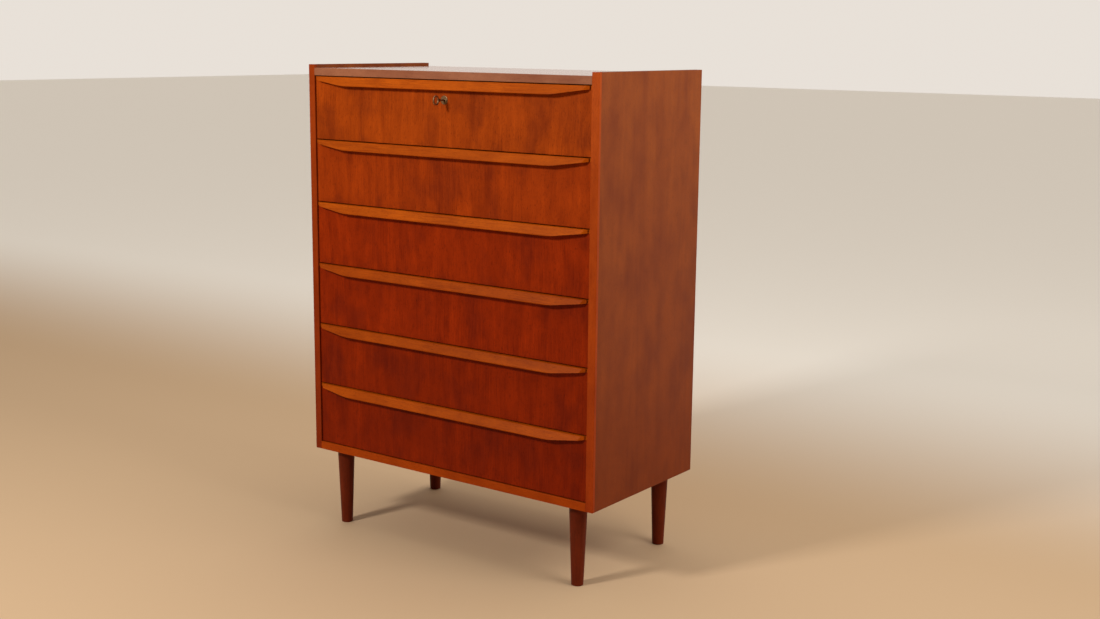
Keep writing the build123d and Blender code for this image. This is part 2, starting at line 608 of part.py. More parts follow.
with BuildPart() as key:
    bow_y = FACE - KEY_REACH + BOW_LENGTH / 2
    collar_y = FACE - KEY_REACH + BOW_LENGTH + KEY_COLLAR_GAP
    with Locations(Plane(origin=(0, FACE + KEY_TIP, LOCK_Z), z_dir=(0, -1, 0))):
        Cylinder(KEY_R, KEY_TIP + KEY_REACH - BOW_LENGTH + BOW_RING / 2,
                 align=(Align.CENTER, Align.CENTER, Align.MIN))
    with Locations(Plane(origin=(0, collar_y, LOCK_Z), z_dir=(0, 1, 0))):
        Cylinder(KEY_COLLAR_R, KEY_COLLAR_L)
    with BuildSketch(Plane.YZ.offset(-BOW_T / 2)):
        with Locations((bow_y, LOCK_Z)):
            Ellipse(BOW_LENGTH / 2, BOW_HEIGHT / 2)
            Ellipse(BOW_LENGTH / 2 - BOW_RING, BOW_HEIGHT / 2 - BOW_RING, mode=Mode.SUBTRACT)
    extrude(amount=BOW_T)
    block((-BIT_T / 2, BIT_T / 2), (FACE + BIT_START, FACE + BIT_START + BIT_DEPTH),
          (LOCK_Z - BIT_REACH, LOCK_Z))
key.part.label = "lock_key"
export_step(key.part, "parts/lock_key.step")
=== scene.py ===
"""Finishes and studio for a tall teak chest of drawers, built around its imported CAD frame."""

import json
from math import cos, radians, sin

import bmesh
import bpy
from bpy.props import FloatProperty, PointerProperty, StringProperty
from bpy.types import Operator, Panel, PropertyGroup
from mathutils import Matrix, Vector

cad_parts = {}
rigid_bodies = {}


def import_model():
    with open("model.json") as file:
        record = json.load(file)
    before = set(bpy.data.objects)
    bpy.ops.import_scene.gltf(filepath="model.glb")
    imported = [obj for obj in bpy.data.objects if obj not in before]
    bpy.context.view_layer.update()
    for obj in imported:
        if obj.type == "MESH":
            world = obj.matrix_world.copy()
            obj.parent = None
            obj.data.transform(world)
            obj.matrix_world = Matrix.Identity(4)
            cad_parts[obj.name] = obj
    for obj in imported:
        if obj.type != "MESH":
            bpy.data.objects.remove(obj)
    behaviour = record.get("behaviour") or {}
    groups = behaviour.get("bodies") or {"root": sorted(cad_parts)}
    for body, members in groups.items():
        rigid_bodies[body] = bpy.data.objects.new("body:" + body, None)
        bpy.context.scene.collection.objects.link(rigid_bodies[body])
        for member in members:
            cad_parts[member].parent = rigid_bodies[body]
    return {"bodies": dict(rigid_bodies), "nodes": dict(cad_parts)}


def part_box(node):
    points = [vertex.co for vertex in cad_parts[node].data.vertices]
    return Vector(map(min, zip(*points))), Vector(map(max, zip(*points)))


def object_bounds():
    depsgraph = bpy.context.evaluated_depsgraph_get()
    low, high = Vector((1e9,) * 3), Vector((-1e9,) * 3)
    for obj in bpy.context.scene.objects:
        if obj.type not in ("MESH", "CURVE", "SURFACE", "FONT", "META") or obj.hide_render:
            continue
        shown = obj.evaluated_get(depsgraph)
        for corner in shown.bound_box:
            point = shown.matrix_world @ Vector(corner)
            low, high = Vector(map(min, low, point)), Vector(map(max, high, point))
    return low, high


bl_info = {
    "name": "Tall Chest of Drawers",
    "version": (1, 0, 0),
    "blender": (4, 5, 0),
    "location": "View3D > Sidebar > Chest",
    "description": "Gives a tall chest of drawers its woods, metals, light and camera",
    "category": "Object",
}

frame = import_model()
CAD_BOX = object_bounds()

MM = 0.001
AXES = {"X": 0, "Y": 1, "Z": 2}
DRAWERS = sorted(name for name in frame["bodies"] if name.startswith("drawer_"))
PAINTED_LIGHT_SHARES = (1.0, 0.6, 0.1, 0.0, 0.0, 0.0)       # painted light: share of the lighter copy each front gets, top drawer first, standing in for light from above
HANDLE_TONES = (0.95, 0.92, 1.0, 0.76, 0.78, 0.84)    # each handle has its own tone, the lower three darker
FRONT_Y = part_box("lipping_left")[0].y
LEG_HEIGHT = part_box("lipping_left")[0].z
SMOKE = "#4A1712"         # smoky streaks of old heartwood
UNTINTED = "#FFFFFF"
PAINTED_SHADE_STEP = 0.07          # painted shade: each front is darker than the one above it by this share
LEFT_TONE = 0.72          # left edging against the right one
BOTTOM_TONE = 0.8         # bottom edging against the right one
RING_SHARE = 0.15         # how strongly growth rings show in the figure
LIGHT_AIM = 0.45          # the softboxes aim this far above the chest's middle, in metres
FLOOR_HALF_WIDTH = 30.0   # metres, so that its far edge lies at the horizon

# the standard sRGB curve
SRGB_SLOPE = 12.92
SRGB_OFFSET = 0.055
SRGB_POWER = 2.4
SRGB_KNEE = 0.04045       # below this the curve is straight
LINEAR_KNEE = 0.0031308   # the same point on the linear side


# ---- what a user would change ----------------------------------------------------------------
class ChestColours(PropertyGroup):
    """Colours of the woods and metals, as sRGB hex values."""

    front_light: StringProperty(
        name="Front veneer, light", description="Early wood of the drawer fronts",
        default="#B33904")
    front_dark: StringProperty(
        name="Front veneer, dark", description="Late wood of the drawer fronts",
        default="#5E1003")
    # painted light: lighter copies of the front veneer for the upper fronts
    painted_lit_light: StringProperty(
        name="Faded veneer, light", description="Early wood of the upper fronts, faded by the sun",
        default="#BC4E0A")
    painted_lit_dark: StringProperty(
        name="Faded veneer, dark", description="Late wood of the upper fronts",
        default="#641D04")
    case_light: StringProperty(
        name="Case veneer, light", description="Early wood of the sides and top",
        default="#9E511C")
    case_dark: StringProperty(
        name="Case veneer, dark", description="Late wood of the sides and top",
        default="#702D0D")
    solid_light: StringProperty(
        name="Solid teak, light", description="Early wood of the handles and edging",
        default="#C65C06")
    solid_dark: StringProperty(
        name="Solid teak, dark", description="Late wood of the handles and edging",
        default="#7E2D02")
    edge_light: StringProperty(
        name="Edging, light", description="Early wood of the solid edging", default="#BE520A")
    edge_dark: StringProperty(
        name="Edging, dark", description="Late wood of the solid edging", default="#903405")
    top_edge_light: StringProperty(
        name="Top edging, light", description="Paler edging along the front of the top",
        default="#A56B4A")
    top_edge_dark: StringProperty(
        name="Top edging, dark", description="Darker streaks of that edging",
        default="#7C422A")
    # painted shade: tint that darkens the case towards its foot
    low_shade_tint: StringProperty(
        name="Kept colour", description="Tint of the unbleached wood low on the case",
        default="#D8B8AC")
    leg_light: StringProperty(
        name="Leg stain, light", description="Stained early wood of the legs", default="#76280D")
    leg_dark: StringProperty(
        name="Leg stain, dark", description="Stained late wood of the legs", default="#421205")
    box_light: StringProperty(
        name="Drawer box wood, light", description="Planed beech of the drawer boxes",
        default="#E2C49A")
    box_dark: StringProperty(
        name="Drawer box wood, dark", description="Darker fibres of the beech", default="#C49C6C")
    ply_light: StringProperty(
        name="Plywood, light", description="Face of the birch plywood", default="#D8BC92")
    ply_dark: StringProperty(
        name="Plywood, dark", description="Figure and inner plies of the plywood",
        default="#C3A173")
    brass: StringProperty(
        name="Brass", description="Clean brass where hands rub it", default="#B08A62")
    tarnish: StringProperty(
        name="Brass tarnish", description="Brown film on old brass", default="#4A3420")
    zinc: StringProperty(
        name="Zinc plate", description="Screws, bolts and lock case", default="#B4B4B0")
    dull_zinc: StringProperty(
        name="Dull zinc", description="Duller patches of the plating", default="#8C8C86")


class ChestGrain(PropertyGroup):
    """Real sizes of the grain, which set the scale of every wood pattern."""

    leaf_width: FloatProperty(
        name="Veneer leaf", description="Width of one leaf of veneer on the drawer fronts",
        default=210 * MM, unit="LENGTH")
    ring_width: FloatProperty(
        name="Growth ring", description="Spacing of the rings on crown-cut veneer",
        default=14 * MM, unit="LENGTH")
    wander: FloatProperty(
        name="Wander", description="How far the grain strays sideways",
        default=16 * MM, unit="LENGTH")
    wander_length: FloatProperty(
        name="Wander length", description="Length over which the grain strays",
        default=200 * MM, unit="LENGTH")
    relief: FloatProperty(
        name="Relief", description="Depth of pores and raised fibres",
        default=0.05 * MM, unit="LENGTH")
    tarnish_width: FloatProperty(
        name="Tarnish patch", description="Size of the dull patches on metal",
        default=4 * MM, unit="LENGTH")
    cloud_width: FloatProperty(
        name="Cloud", description="Width of the large soft changes of colour",
        default=85 * MM, unit="LENGTH")
    cloud_length: FloatProperty(
        name="Cloud length", description="Length of those changes along the grain",
        default=130 * MM, unit="LENGTH")
    patch_width: FloatProperty(
        name="Streaky patch", description="Size of the areas where the fibres stand out",
        default=150 * MM, unit="LENGTH")
    mottle_width: FloatProperty(
        name="Mottle", description="Width of the small soft patches of the figure",
        default=18 * MM, unit="LENGTH")
    mottle_length: FloatProperty(
        name="Mottle length", description="Length of those patches along the grain",
        default=40 * MM, unit="LENGTH")
    band_width: FloatProperty(
        name="Colour band", description="Width of the slow bands of colour",
        default=26 * MM, unit="LENGTH")
    band_length: FloatProperty(
        name="Band length", description="Length of those bands along the grain",
        default=480 * MM, unit="LENGTH")
    fibre_width: FloatProperty(
        name="Fibre", description="Width of a bundle of fibres", default=2.2 * MM, unit="LENGTH")
    fibre_length: FloatProperty(
        name="Fibre length", description="Length of a bundle of fibres",
        default=95 * MM, unit="LENGTH")
    pore_width: FloatProperty(
        name="Pore", description="Width of an open pore, drawn coarser than the real 0.3 mm",
        default=0.8 * MM, unit="LENGTH")
    pore_length: FloatProperty(
        name="Pore length", description="Length of an open pore along the grain",
        default=9 * MM, unit="LENGTH")


class ChestStudio(PropertyGroup):
    """Floor, lights and camera."""

    floor: StringProperty(name="Floor", description="Pale floor", default="#BD9F7C")
    far_floor: StringProperty(
        name="Far floor", description="The floor pales behind the chest", default="#F4EEE4")
    floor_start: FloatProperty(
        name="Floor start", description="Distance behind the chest's middle where paling starts",
        default=0.5, unit="LENGTH")
    floor_reach: FloatProperty(
        name="Floor reach", description="Distance behind the chest at which it is pale",
        default=2.4, unit="LENGTH")
    air: StringProperty(name="Room", description="Pale room all around", default="#F1E9E0")
    room_light: FloatProperty(
        name="Room light", description="Strength of the light from behind", default=0.92)
    dim_light: FloatProperty(
        name="Dim light", description="Strength of the light from in front", default=0.08)
    ceiling_light: FloatProperty(
        name="Ceiling light", description="Strength added straight overhead", default=0.5)
    key_power: FloatProperty(
        name="Key light", description="Power of the soft light on the upper left",
        default=90.0, unit="POWER")
    fill_power: FloatProperty(
        name="Fill light", description="Power of the weaker light on the upper right",
        default=30.0, unit="POWER")
    azimuth: FloatProperty(
        name="Camera azimuth", description="Camera to the right of straight ahead",
        default=radians(35.99), unit="ROTATION")
    pitch: FloatProperty(
        name="Camera pitch", description="Camera looks down by this",
        default=radians(10.69), unit="ROTATION")
    roll: FloatProperty(
        name="Camera roll", description="Lean of the camera", default=radians(0.61),
        unit="ROTATION")
    lens: FloatProperty(
        name="Lens", description="Focal length on a 36 mm sensor", default=47.39, unit="CAMERA")
    camera_right: FloatProperty(
        name="Camera right", description="Camera to the right of the chest's middle",
        default=2.1117, unit="LENGTH")
    camera_ahead: FloatProperty(
        name="Camera ahead", description="Camera ahead of the carcass front",
        default=2.4942, unit="LENGTH")
    camera_height: FloatProperty(
        name="Camera height", description="Camera above the floor",
        default=1.2097, unit="LENGTH")


# ---- small tools -----------------------------------------------------------------------------
def linear(colour):
    """Turn an sRGB hex value into linear red, green, blue and alpha."""
    channels = [int(colour[i:i + 2], 16) / 255 for i in (1, 3, 5)]
    return [c / SRGB_SLOPE if c <= SRGB_KNEE
            else ((c + SRGB_OFFSET) / (1 + SRGB_OFFSET)) ** SRGB_POWER
            for c in channels] + [1.0]


def srgb(value):
    """Turn a linear value into its sRGB one, the other way round from linear()."""
    if value <= LINEAR_KNEE:
        return SRGB_SLOPE * value
    return (1 + SRGB_OFFSET) * value ** (1 / SRGB_POWER) - SRGB_OFFSET


def hex_of(channels):
    """Write linear red, green and blue as an sRGB hex value."""
    return "#" + "".join(f"{round(255 * srgb(channel)):02X}" for channel in channels)


def toned(colour, factor):
    """Darken or lighten a hex colour: below 1 is darker, and a little redder too."""
    powers = (1.0, 1.5, 1.5)
    return hex_of([channel * factor ** power for channel, power in zip(linear(colour), powers)])


def blended(first, second, share):
    """Mix two hex colours, with the given share of the second."""
    return hex_of([(1 - share) * a + share * b
                   for a, b in zip(linear(first)[:3], linear(second)[:3])])


def add(tree, kind, inputs=None, **settings):
    """Add a node. Settings are its properties. Inputs are values, or sockets to link from."""
    node = tree.nodes.new(kind)
    for name, value in settings.items():
        setattr(node, name, value)
    for name, value in (inputs or {}).items():
        if isinstance(value, bpy.types.NodeSocket):
            tree.links.new(value, node.inputs[name])
        else:
            node.inputs[name].default_value = value
    return node


def new_material(name):
    """Empty node material with its output, ready for a shader."""
    material = bpy.data.materials.new(name)
    material.use_nodes = True
    material.node_tree.nodes.clear()
    return material, material.node_tree


def close(tree, shader):
    """Join the finished shader to the material's output."""
    add(tree, "ShaderNodeOutputMaterial", {"Surface": shader.outputs["BSDF"]})


def stretched(grain, width, length):
    """Pattern scale, in cycles a metre, of a mark that is drawn out along the grain."""
    scale = [1 / width] * 3
    scale[AXES[grain]] = 1 / length
    return scale


def dress(names, material):
    """Give CAD nodes a material in their own slots."""
    for name in names:
        for holder in frame["nodes"][name].material_slots:
            holder.material = material


# ---- woods -----------------------------------------------------------------------------------
def wood(name, grain, light, dark, sizes, weights=(0.15, 0.35, 0.25, 0.25), gloss=0.42,
         level=0.2, coat=0.0, rings=None, seed=0.0, pore_depth=0.5, smoke=0.0, deep=None):
    """Wood with its figure drawn out along the grain, dark where its ends are cut."""
    material, tree = new_material(name)
    place = add(tree, "ShaderNodeTexCoord")
    bent = wandering(tree, place, sizes, seed)
    bands, clouds, mottle, fibres, pores = figure(tree, bent, grain, sizes)

    # weights share the tone out between bands, clouds, mottle and fibres
    tone = add(tree, "ShaderNodeMath",
               {0: patchy(tree, bent, fibres, sizes).outputs["Result"], 1: weights[3]},
               operation="MULTIPLY")
    for pattern, weight in zip((bands, clouds, mottle), weights):
        tone = add(tree, "ShaderNodeMath",
                   {0: pattern.outputs["Result"], 1: weight, 2: tone.outputs[0]},
                   operation="MULTIPLY_ADD")
    if rings:
        tone = ring_figure(tree, bent, tone, grain, rings, sizes)

    colour = add(tree, "ShaderNodeMix",
                 {0: tone.outputs[0], 6: linear(dark), 7: linear(light)}, data_type="RGBA")
    if smoke:
        colour = smoky(tree, colour, clouds, smoke)
    # painted shade: darker towards the bottom of the case
    if deep:
        colour = painted_low_shade(tree, colour, place, deep)

    # open pores hold dirt and finish
    darkened = add(tree, "ShaderNodeMath",
                   {0: pores.outputs["Result"], 1: pore_depth}, operation="MULTIPLY")
    pored = add(tree, "ShaderNodeMix",
                {0: darkened.outputs["Value"], 6: colour.outputs[2], 7: shaded(dark, 0.4)},
                data_type="RGBA")

    # cut ends drink in the finish and look darker
    facing = add(tree, "ShaderNodeSeparateXYZ", {"Vector": place.outputs["Normal"]})
    end_on = add(tree, "ShaderNodeMath", {0: facing.outputs[grain]}, operation="ABSOLUTE")
    end = add(tree, "ShaderNodeMapRange",
              {"Value": end_on.outputs["Value"], "From Min": 0.75, "From Max": 0.95,
               "To Max": 0.55})
    finished = add(tree, "ShaderNodeMix",
                   {0: end.outputs["Result"], 6: pored.outputs[2], 7: shaded(dark, 0.5)},
                   data_type="RGBA")

    # pores and raised fibres stand out by a few hundredths of a millimetre
    relief = add(tree, "ShaderNodeMath",
                 {0: fibres.outputs["Result"], 1: pores.outputs["Result"]},
                 operation="SUBTRACT")
    bump = add(tree, "ShaderNodeBump",
               {"Height": relief.outputs["Value"], "Distance": sizes.relief, "Strength": 0.6})
    satin = add(tree, "ShaderNodeMapRange",
                {"Value": tone.outputs[0], "To Min": gloss - 0.05, "To Max": gloss + 0.07})
    shader = add(tree, "ShaderNodeBsdfPrincipled",
                 {"Base Color": finished.outputs[2], "Roughness": satin.outputs["Result"],
                  "IOR": 1.5, "Specular IOR Level": level, "Coat Weight": coat,
                  "Coat Roughness": 0.18, "Normal": bump.outputs["Normal"]})
    close(tree, shader)
    return material


def shaded(colour, factor):
    """Darken a hex colour and turn it to linear."""
    return [channel * factor for channel in linear(colour)[:3]] + [1.0]


def wandering(tree, place, sizes, seed):
    """Place on the piece, pushed about sideways so that the grain wanders."""
    spot = add(tree, "ShaderNodeMapping",
               {"Vector": place.outputs["Object"], "Location": (seed, seed * 0.7, seed * 0.3)})
    drift = add(tree, "ShaderNodeTexNoise",
                {"Vector": spot.outputs["Vector"], "Scale": 1 / sizes.wander_length,
                 "Detail": 1.0})
    centred = add(tree, "ShaderNodeVectorMath",
                  {0: drift.outputs["Color"], 1: (0.5, 0.5, 0.5)}, operation="SUBTRACT")
    return add(tree, "ShaderNodeVectorMath",
               {0: centred.outputs["Vector"], 1: [sizes.wander] * 3,
                2: spot.outputs["Vector"]}, operation="MULTIPLY_ADD")


def figure(tree, bent, grain, sizes):
    """Slow bands, soft clouds, mottle of wavy fibres, bundles of fibre, and open pores."""
    patterns = []
    for width, length, detail, low, high in (
            (sizes.band_width, sizes.band_length, 2.0, 0.3, 0.7),
            (sizes.cloud_width, sizes.cloud_length, 2.0, 0.3, 0.7),
            (sizes.mottle_width, sizes.mottle_length, 3.0, 0.3, 0.7),
            (sizes.fibre_width, sizes.fibre_length, 3.0, 0.28, 0.72),
            (sizes.pore_width, sizes.pore_length, 1.0, 0.60, 0.72)):
        scaled = add(tree, "ShaderNodeVectorMath",
                     {0: bent.outputs["Vector"], 1: stretched(grain, width, length)},
                     operation="MULTIPLY")
        marks = add(tree, "ShaderNodeTexNoise",
                    {"Vector": scaled.outputs["Vector"], "Scale": 1.0, "Detail": detail,
                     "Roughness": 0.6})
        patterns.append(add(tree, "ShaderNodeMapRange",
                            {"Value": marks.outputs["Fac"], "From Min": low,
                             "From Max": high}))
    return patterns


def patchy(tree, bent, fibres, sizes):
    """Let the fibres stand out in places and lie calm in others."""
    patches = add(tree, "ShaderNodeTexNoise",
                  {"Vector": bent.outputs["Vector"], "Scale": 1 / sizes.patch_width,
                   "Detail": 1.0})
    lively = add(tree, "ShaderNodeMapRange",
                 {"Value": patches.outputs["Fac"], "From Min": 0.38, "From Max": 0.62,
                  "To Min": 0.3})
    return add(tree, "ShaderNodeMix",
               {0: lively.outputs["Result"], 2: 0.5, 3: fibres.outputs["Result"]})


def smoky(tree, colour, clouds, amount):
    """Turn the heartwood smoky here and there, with a breath of purple."""
    share = add(tree, "ShaderNodeMapRange",
                {"Value": clouds.outputs["Result"], "From Min": 0.1, "From Max": 0.5,
                 "To Min": amount, "To Max": 0.0})
    return add(tree, "ShaderNodeMix",
               {0: share.outputs["Result"], 6: colour.outputs[2], 7: linear(SMOKE)},
               data_type="RGBA")


def painted_low_shade(tree, colour, place, tint):
    """Painted shade: multiply the colour by a tint that is full at the foot of the case and fades
    out towards the top.
    """
    height = add(tree, "ShaderNodeSeparateXYZ", {"Vector": place.outputs["Object"]})
    height_share = add(tree, "ShaderNodeMapRange",
                   {"Value": height.outputs["Z"], "From Min": CAD_BOX[0].z + LEG_HEIGHT,
                    "From Max": CAD_BOX[1].z})
    low_shade_tint = add(tree, "ShaderNodeMix",
               {0: height_share.outputs["Result"], 6: linear(tint), 7: linear(UNTINTED)},
               data_type="RGBA")
    return add(tree, "ShaderNodeMix",
               {0: 1.0, 6: colour.outputs[2], 7: low_shade_tint.outputs[2]},
               data_type="RGBA", blend_type="MULTIPLY")


def ring_figure(tree, bent, tone, grain, rings, sizes):
    """Mix in growth rings cut by the veneer knife: nested arches, mirrored from leaf to leaf."""
    across, pith, taper = rings
    parts = add(tree, "ShaderNodeSeparateXYZ", {"Vector": bent.outputs["Vector"]})
    mirrored = add(tree, "ShaderNodeMath",
                   {0: parts.outputs[across], 1: sizes.leaf_width / 2}, operation="PINGPONG")
    squared = add(tree, "ShaderNodeMath",
                  {0: mirrored.outputs["Value"], 1: mirrored.outputs["Value"], 2: pith ** 2},
                  operation="MULTIPLY_ADD")
    radius = add(tree, "ShaderNodeMath", {0: squared.outputs["Value"]}, operation="SQRT")
    climb = add(tree, "ShaderNodeMath",
                {0: parts.outputs[grain], 1: -taper, 2: radius.outputs["Value"]},
                operation="MULTIPLY_ADD")
    count = add(tree, "ShaderNodeMath",
                {0: climb.outputs["Value"], 1: 1 / sizes.ring_width}, operation="MULTIPLY")
    lines = add(tree, "ShaderNodeTexNoise",
                {"W": count.outputs["Value"], "Scale": 1.0, "Detail": 2.0, "Roughness": 0.6},
                noise_dimensions="1D")
    clear = add(tree, "ShaderNodeMapRange",
                {"Value": lines.outputs["Fac"], "From Min": 0.32, "From Max": 0.68})
    return add(tree, "ShaderNodeMix",
               {0: RING_SHARE, 2: tone.outputs[0], 3: clear.outputs["Result"]})


def metal(name, colour, film, roughness, amount, sizes):
    """Metal with a patchy film that dulls it."""
    material, tree = new_material(name)
    place = add(tree, "ShaderNodeTexCoord")
    patches = add(tree, "ShaderNodeTexNoise",
                  {"Vector": place.outputs["Object"], "Scale": 1 / sizes.tarnish_width,
                   "Detail": 4.0})
    worn = add(tree, "ShaderNodeMapRange",
               {"Value": patches.outputs["Fac"], "From Min": 0.35, "From Max": 0.65,
                "To Max": amount})
    surface = add(tree, "ShaderNodeMix",
                  {0: worn.outputs["Result"], 6: linear(colour), 7: linear(film)},
                  data_type="RGBA")
    dull = add(tree, "ShaderNodeMapRange",
               {"Value": worn.outputs["Result"], "To Min": roughness, "To Max": roughness + 0.3})
    shader = add(tree, "ShaderNodeBsdfPrincipled",
                 {"Base Color": surface.outputs[2], "Metallic": 1.0,
                  "Roughness": dull.outputs["Result"]})
    close(tree, shader)
    return material


# ---- operators, one for each piece or group of like pieces -----------------------------------
class CHEST_OT_drawer_fronts(Operator):
    """Crown-cut teak veneer, in mirrored leaves, on the drawer fronts"""

    bl_idname = "chest.drawer_fronts"
    bl_label = "Drawer fronts"

    def execute(self, context):
        colours, sizes = context.scene.chest_colours, context.scene.chest_grain
        # knife-cut and oiled: a satin surface where soft arches run between dark fine fibres
        # painted light and shade: the upper fronts get a share of a lighter copy of the veneer,
        # and each front is darker than the one above it, standing in for light falling from above
        for number, (name, painted_light) in enumerate(zip(DRAWERS, PAINTED_LIGHT_SHARES), start=1):
            shade_factor = 1 - PAINTED_SHADE_STEP * (number - 1)
            light, dark = (toned(blended(deep, brightened, painted_light), shade_factor) for deep, brightened in (
                (colours.front_light, colours.painted_lit_light),
                (colours.front_dark, colours.painted_lit_dark)))
            veneer = wood(f"teak_veneer_front_{number}", "Z", light, dark, sizes,
                          rings=("X", 45 * MM, 0.05), gloss=0.40, level=0.05,
                          weights=(0.12, 0.28, 0.22, 0.38), pore_depth=0.6, smoke=0.16,
                          seed=0.37 * number)
            dress([f"{name}_front"], veneer)
        return {"FINISHED"}


class CHEST_OT_handles(Operator):
    """Solid teak lip handles, oiled and rubbed by hands"""

    bl_idname = "chest.handles"
    bl_label = "Lip handles"

    def execute(self, context):
        colours, sizes = context.scene.chest_colours, context.scene.chest_grain
        # shaped by spindle and sanded: orange, with long fine streaks and little shine
        for number, (name, tone) in enumerate(zip(DRAWERS, HANDLE_TONES), start=1):
            teak = wood(f"solid_teak_handle_{number}", "X", toned(colours.solid_light, tone),
                        toned(colours.solid_dark, tone), sizes, gloss=0.45, seed=0.53 * number,
                        level=0.04, weights=(0.15, 0.2, 0.2, 0.45))
            dress([f"{name}_handle"], teak)
        return {"FINISHED"}


class CHEST_OT_carcass(Operator):
    """Straight teak veneer on the sides, top and bottom"""

    bl_idname = "chest.carcass"
    bl_label = "Carcass boards"

    def execute(self, context):
        colours, sizes = context.scene.chest_colours, context.scene.chest_grain
        # knife-cut and oiled: brown and calm, with faint arches under wide soft clouds
        # painted shade: the sides darken towards the bottom of the case
        upright = wood("teak_veneer_side", "Z", colours.case_light, colours.case_dark, sizes,
                       seed=1.7, rings=("Y", 90 * MM, 0.03), gloss=0.45,
                       level=0.12, weights=(0.15, 0.55, 0.12, 0.18), deep=colours.low_shade_tint)
        # lacquered against wet glasses: mirrors the room at a low angle
        flat = wood("teak_veneer_top", "X", colours.case_light, colours.case_dark, sizes,
                    seed=5.3, gloss=0.3, level=0.1, coat=1.0)
        dress(["side_panel_left", "side_panel_right"], upright)
        dress(["top_panel", "bottom_panel"], flat)
        return {"FINISHED"}


class CHEST_OT_lippings(Operator):
    """Solid teak edging on the carcass's front edges"""

    bl_idname = "chest.lippings"
    bl_label = "Front edging"

    def execute(self, context):
        colours, sizes = context.scene.chest_colours, context.scene.chest_grain
        # planed flush after gluing: a plain orange strip that frames the drawers
        # painted shade: the upright edgings darken towards the bottom of the case
        upright = wood("solid_teak_edging_upright", "Z", colours.edge_light,
                       colours.edge_dark, sizes, seed=2.2, gloss=0.42, level=0.1,
                       deep=colours.low_shade_tint)
        darker = wood("solid_teak_edging_left", "Z", toned(colours.edge_light, LEFT_TONE),
                      toned(colours.edge_dark, LEFT_TONE), sizes, seed=8.3, gloss=0.42,
                      level=0.1, deep=colours.low_shade_tint)
        bottom = wood("solid_teak_edging_level", "X", toned(colours.edge_light, BOTTOM_TONE),
                      toned(colours.edge_dark, BOTTOM_TONE), sizes, seed=4.6, gloss=0.42,
                      level=0.05)
        pale = wood("solid_teak_edging_top", "X", colours.top_edge_light,
                    colours.top_edge_dark, sizes, seed=6.4, gloss=0.4)
        dress(["lipping_left"], darker)
        dress(["lipping_right"], upright)
        dress(["lipping_bottom"], bottom)
        dress(["lipping_top"], pale)
        return {"FINISHED"}


class CHEST_OT_legs(Operator):
    """Turned legs with a dark stain"""

    bl_idname = "chest.legs"
    bl_label = "Legs"

    def execute(self, context):
        colours, sizes = context.scene.chest_colours, context.scene.chest_grain
        # turned, stained and oiled: a dark red-brown, with the grain just showing
        stained = wood("stained_teak_leg", "Z", colours.leg_light, colours.leg_dark, sizes,
                       seed=7.9, gloss=0.42, level=0.1)
        dress([name for name in frame["nodes"]
               if name.startswith(("leg_front", "leg_rear"))], stained)
        return {"FINISHED"}


class CHEST_OT_drawer_boxes(Operator):
    """Planed beech drawer sides and backs, plywood bottoms, beech runners"""

    bl_idname = "chest.drawer_boxes"
    bl_label = "Drawer boxes"

    def execute(self, context):
        colours, sizes = context.scene.chest_colours, context.scene.chest_grain
        # planed and waxed inside the case: pale and matt, with tiny pores
        along = wood("planed_beech_side", "Y", colours.box_light, colours.box_dark, sizes,
                     gloss=0.5, pore_depth=0.2)
        cross = wood("planed_beech_back", "X", colours.box_light, colours.box_dark, sizes,
                     gloss=0.5, pore_depth=0.2, seed=1.1)
        # rotary-cut and bare: wide pale clouds, no shine
        sheet = wood("birch_plywood", "X", colours.ply_light, colours.ply_dark, sizes,
                     gloss=0.6, pore_depth=0.2, seed=2.9)
        for name in DRAWERS:
            dress([f"{name}_side_left", f"{name}_side_right"], along)
            dress([f"{name}_back"], cross)
            dress([f"{name}_bottom"], sheet)
        dress(["drawer_runners"], along)
        dress(["carcass_dowels"], cross)
        dress(["back_panel"], sheet)
        return {"FINISHED"}


class CHEST_OT_hardware(Operator):
    """Aged brass lock furniture and zinc-plated screws, bolts and lock case"""

    bl_idname = "chest.hardware"
    bl_label = "Lock and screws"

    def execute(self, context):
        colours, sizes = context.scene.chest_colours, context.scene.chest_grain
        # polished long ago and never since: brown film over a yellow glint
        brass = metal("aged_brass", colours.brass, colours.tarnish, 0.3, 0.9, sizes)
        # passivated plating: even grey with a soft shine
        zinc = metal("zinc_plated_steel", colours.zinc, colours.dull_zinc, 0.35, 0.6, sizes)
        dress(["lock_escutcheon", "lock_key", "lock_bolt", "leg_inserts"], brass)
        dress(["lock_case", "lock_screws", "leg_bolts", "runner_screws", "back_panel_screws"],
              zinc)
        return {"FINISHED"}


class CHEST_OT_studio(Operator):
    """Plain pale floor, soft light and the camera"""

    bl_idname = "chest.studio"
    bl_label = "Studio"

    def execute(self, context):
        studio = context.scene.chest_studio
        build_floor(studio)
        build_light(studio)
        build_camera(studio)
        return {"FINISHED"}


def build_floor(studio):
    """Large matt floor, which pales behind the chest."""
    mesh = bpy.data.meshes.new("floor")
    shape = bmesh.new()
    bmesh.ops.create_grid(shape, x_segments=1, y_segments=1, size=FLOOR_HALF_WIDTH)
    shape.to_mesh(mesh)
    shape.free()
    floor = bpy.data.objects.new("floor", mesh)
    bpy.context.scene.collection.objects.link(floor)
    material, tree = new_material("matt_floor_paint")
    place = add(tree, "ShaderNodeTexCoord")
    behind = add(tree, "ShaderNodeSeparateXYZ", {"Vector": place.outputs["Object"]})
    paling = add(tree, "ShaderNodeMapRange",
                 {"Value": behind.outputs["Y"], "From Min": studio.floor_start,
                  "From Max": studio.floor_reach}, interpolation_type="SMOOTHSTEP")
    paint = add(tree, "ShaderNodeMix",
                {0: paling.outputs["Result"], 6: linear(studio.floor),
                 7: linear(studio.far_floor)}, data_type="RGBA")
    shader = add(tree, "ShaderNodeBsdfPrincipled",
                 {"Base Color": paint.outputs[2], "Roughness": 0.75, "Specular IOR Level": 0.2})
    close(tree, shader)
    mesh.materials.append(material)


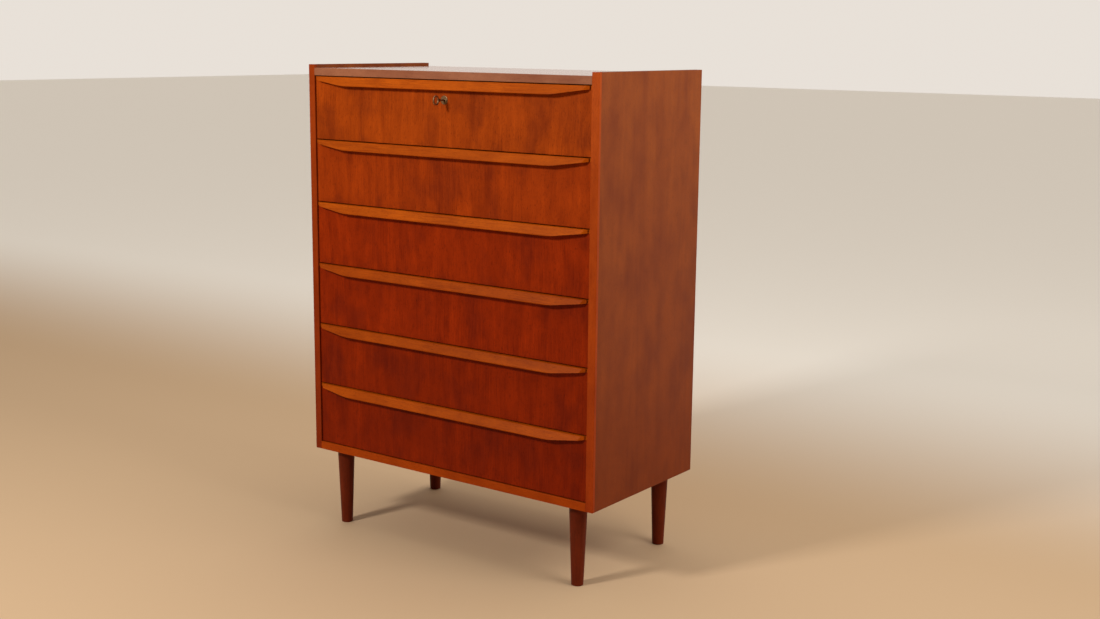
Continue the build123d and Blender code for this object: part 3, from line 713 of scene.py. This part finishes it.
def build_light(studio):
    """Uneven room light, a small softbox upper left and a weaker, larger one on the right."""
    scene = bpy.context.scene
    scene.view_settings.view_transform = "Standard"
    world = bpy.data.worlds.new("room")
    world.use_nodes = True
    tree = world.node_tree
    tree.nodes.clear()
    # the room is bright behind the chest, dimmer in front of it, and has a pale lit ceiling
    ways = add(tree, "ShaderNodeSeparateXYZ",
               {"Vector": add(tree, "ShaderNodeTexCoord").outputs["Generated"]})
    strength = add(tree, "ShaderNodeMapRange",
                   {"Value": ways.outputs["Y"], "From Min": -0.2, "From Max": 0.35,
                    "To Min": studio.dim_light, "To Max": studio.room_light})
    ceiling = add(tree, "ShaderNodeMapRange",
                  {"Value": ways.outputs["Z"], "From Min": 0.3, "From Max": 0.9,
                   "To Max": studio.ceiling_light})
    total = add(tree, "ShaderNodeMath",
                {0: strength.outputs["Result"], 1: ceiling.outputs["Result"]}, operation="ADD")
    air = add(tree, "ShaderNodeBackground",
              {"Color": linear(studio.air), "Strength": total.outputs["Value"]})
    add(tree, "ShaderNodeOutputWorld", {"Surface": air.outputs["Background"]})
    scene.world = world

    # places are from the chest's middle, in metres
    middle = (CAD_BOX[0] + CAD_BOX[1]) / 2
    target = middle + Vector((0.0, 0.0, LIGHT_AIM))
    for name, place, width, power in (
            ("key_softbox", (-0.9, -3.0, 1.9), 0.5, studio.key_power),
            ("fill_softbox", (2.2, -0.1, 1.5), 1.2, studio.fill_power)):
        soft = bpy.data.lights.new(name, "AREA")
        soft.shape = "SQUARE"
        soft.size, soft.energy = width, power
        holder = bpy.data.objects.new(name, soft)
        holder.location = middle + Vector(place)
        holder.rotation_euler = (target - holder.location).to_track_quat("-Z", "Y").to_euler()
        holder.visible_camera = False
        scene.collection.objects.link(holder)


def build_camera(studio):
    """Camera at standing height, to the right of the chest."""
    turn, drop, lean = studio.azimuth, studio.pitch, studio.roll
    forward = Vector((-sin(turn) * cos(drop), cos(turn) * cos(drop), -sin(drop)))
    level = Vector((cos(turn), sin(turn), 0.0))
    right = level * cos(lean) + level.cross(forward) * sin(lean)
    up = right.cross(forward)
    turned = Matrix((right, up, -forward)).transposed().to_4x4()
    data = bpy.data.cameras.new("camera")
    data.sensor_width = 36.0
    data.lens = studio.lens
    camera = bpy.data.objects.new("camera", data)
    bpy.context.scene.collection.objects.link(camera)
    place = Vector((studio.camera_right, FRONT_Y - studio.camera_ahead, studio.camera_height))
    camera.matrix_world = Matrix.Translation(place) @ turned
    bpy.context.scene.camera = camera


class CHEST_PT_panel(Panel):
    """Lists the chest's operators and settings"""

    bl_idname = "CHEST_PT_panel"
    bl_label = "Tall Chest of Drawers"
    bl_space_type = "VIEW_3D"
    bl_region_type = "UI"
    bl_category = "Chest"

    def draw(self, context):
        for operator in OPERATORS:
            self.layout.operator(operator.bl_idname)
        for group in (context.scene.chest_colours, context.scene.chest_grain,
                      context.scene.chest_studio):
            box = self.layout.box()
            for name in group.__annotations__:
                box.prop(group, name)


OPERATORS = (
    CHEST_OT_drawer_fronts, CHEST_OT_handles, CHEST_OT_carcass, CHEST_OT_lippings,
    CHEST_OT_legs, CHEST_OT_drawer_boxes, CHEST_OT_hardware, CHEST_OT_studio,
)
GROUPS = {"chest_colours": ChestColours, "chest_grain": ChestGrain, "chest_studio": ChestStudio}


def register():
    """Register the classes and hang the settings on the scene."""
    for cls in (*GROUPS.values(), *OPERATORS, CHEST_PT_panel):
        bpy.utils.register_class(cls)
    for name, group in GROUPS.items():
        setattr(bpy.types.Scene, name, PointerProperty(type=group))


def unregister():
    """Take the settings off the scene and unregister the classes."""
    for name in GROUPS:
        delattr(bpy.types.Scene, name)
    for cls in (CHEST_PT_panel, *reversed(OPERATORS), *reversed(GROUPS.values())):
        bpy.utils.unregister_class(cls)


def main():
    """Make everything in order."""
    register()
    for operator in OPERATORS:
        family, action = operator.bl_idname.split(".")
        getattr(getattr(bpy.ops, family), action)()


if __name__ == "__main__":
    main()
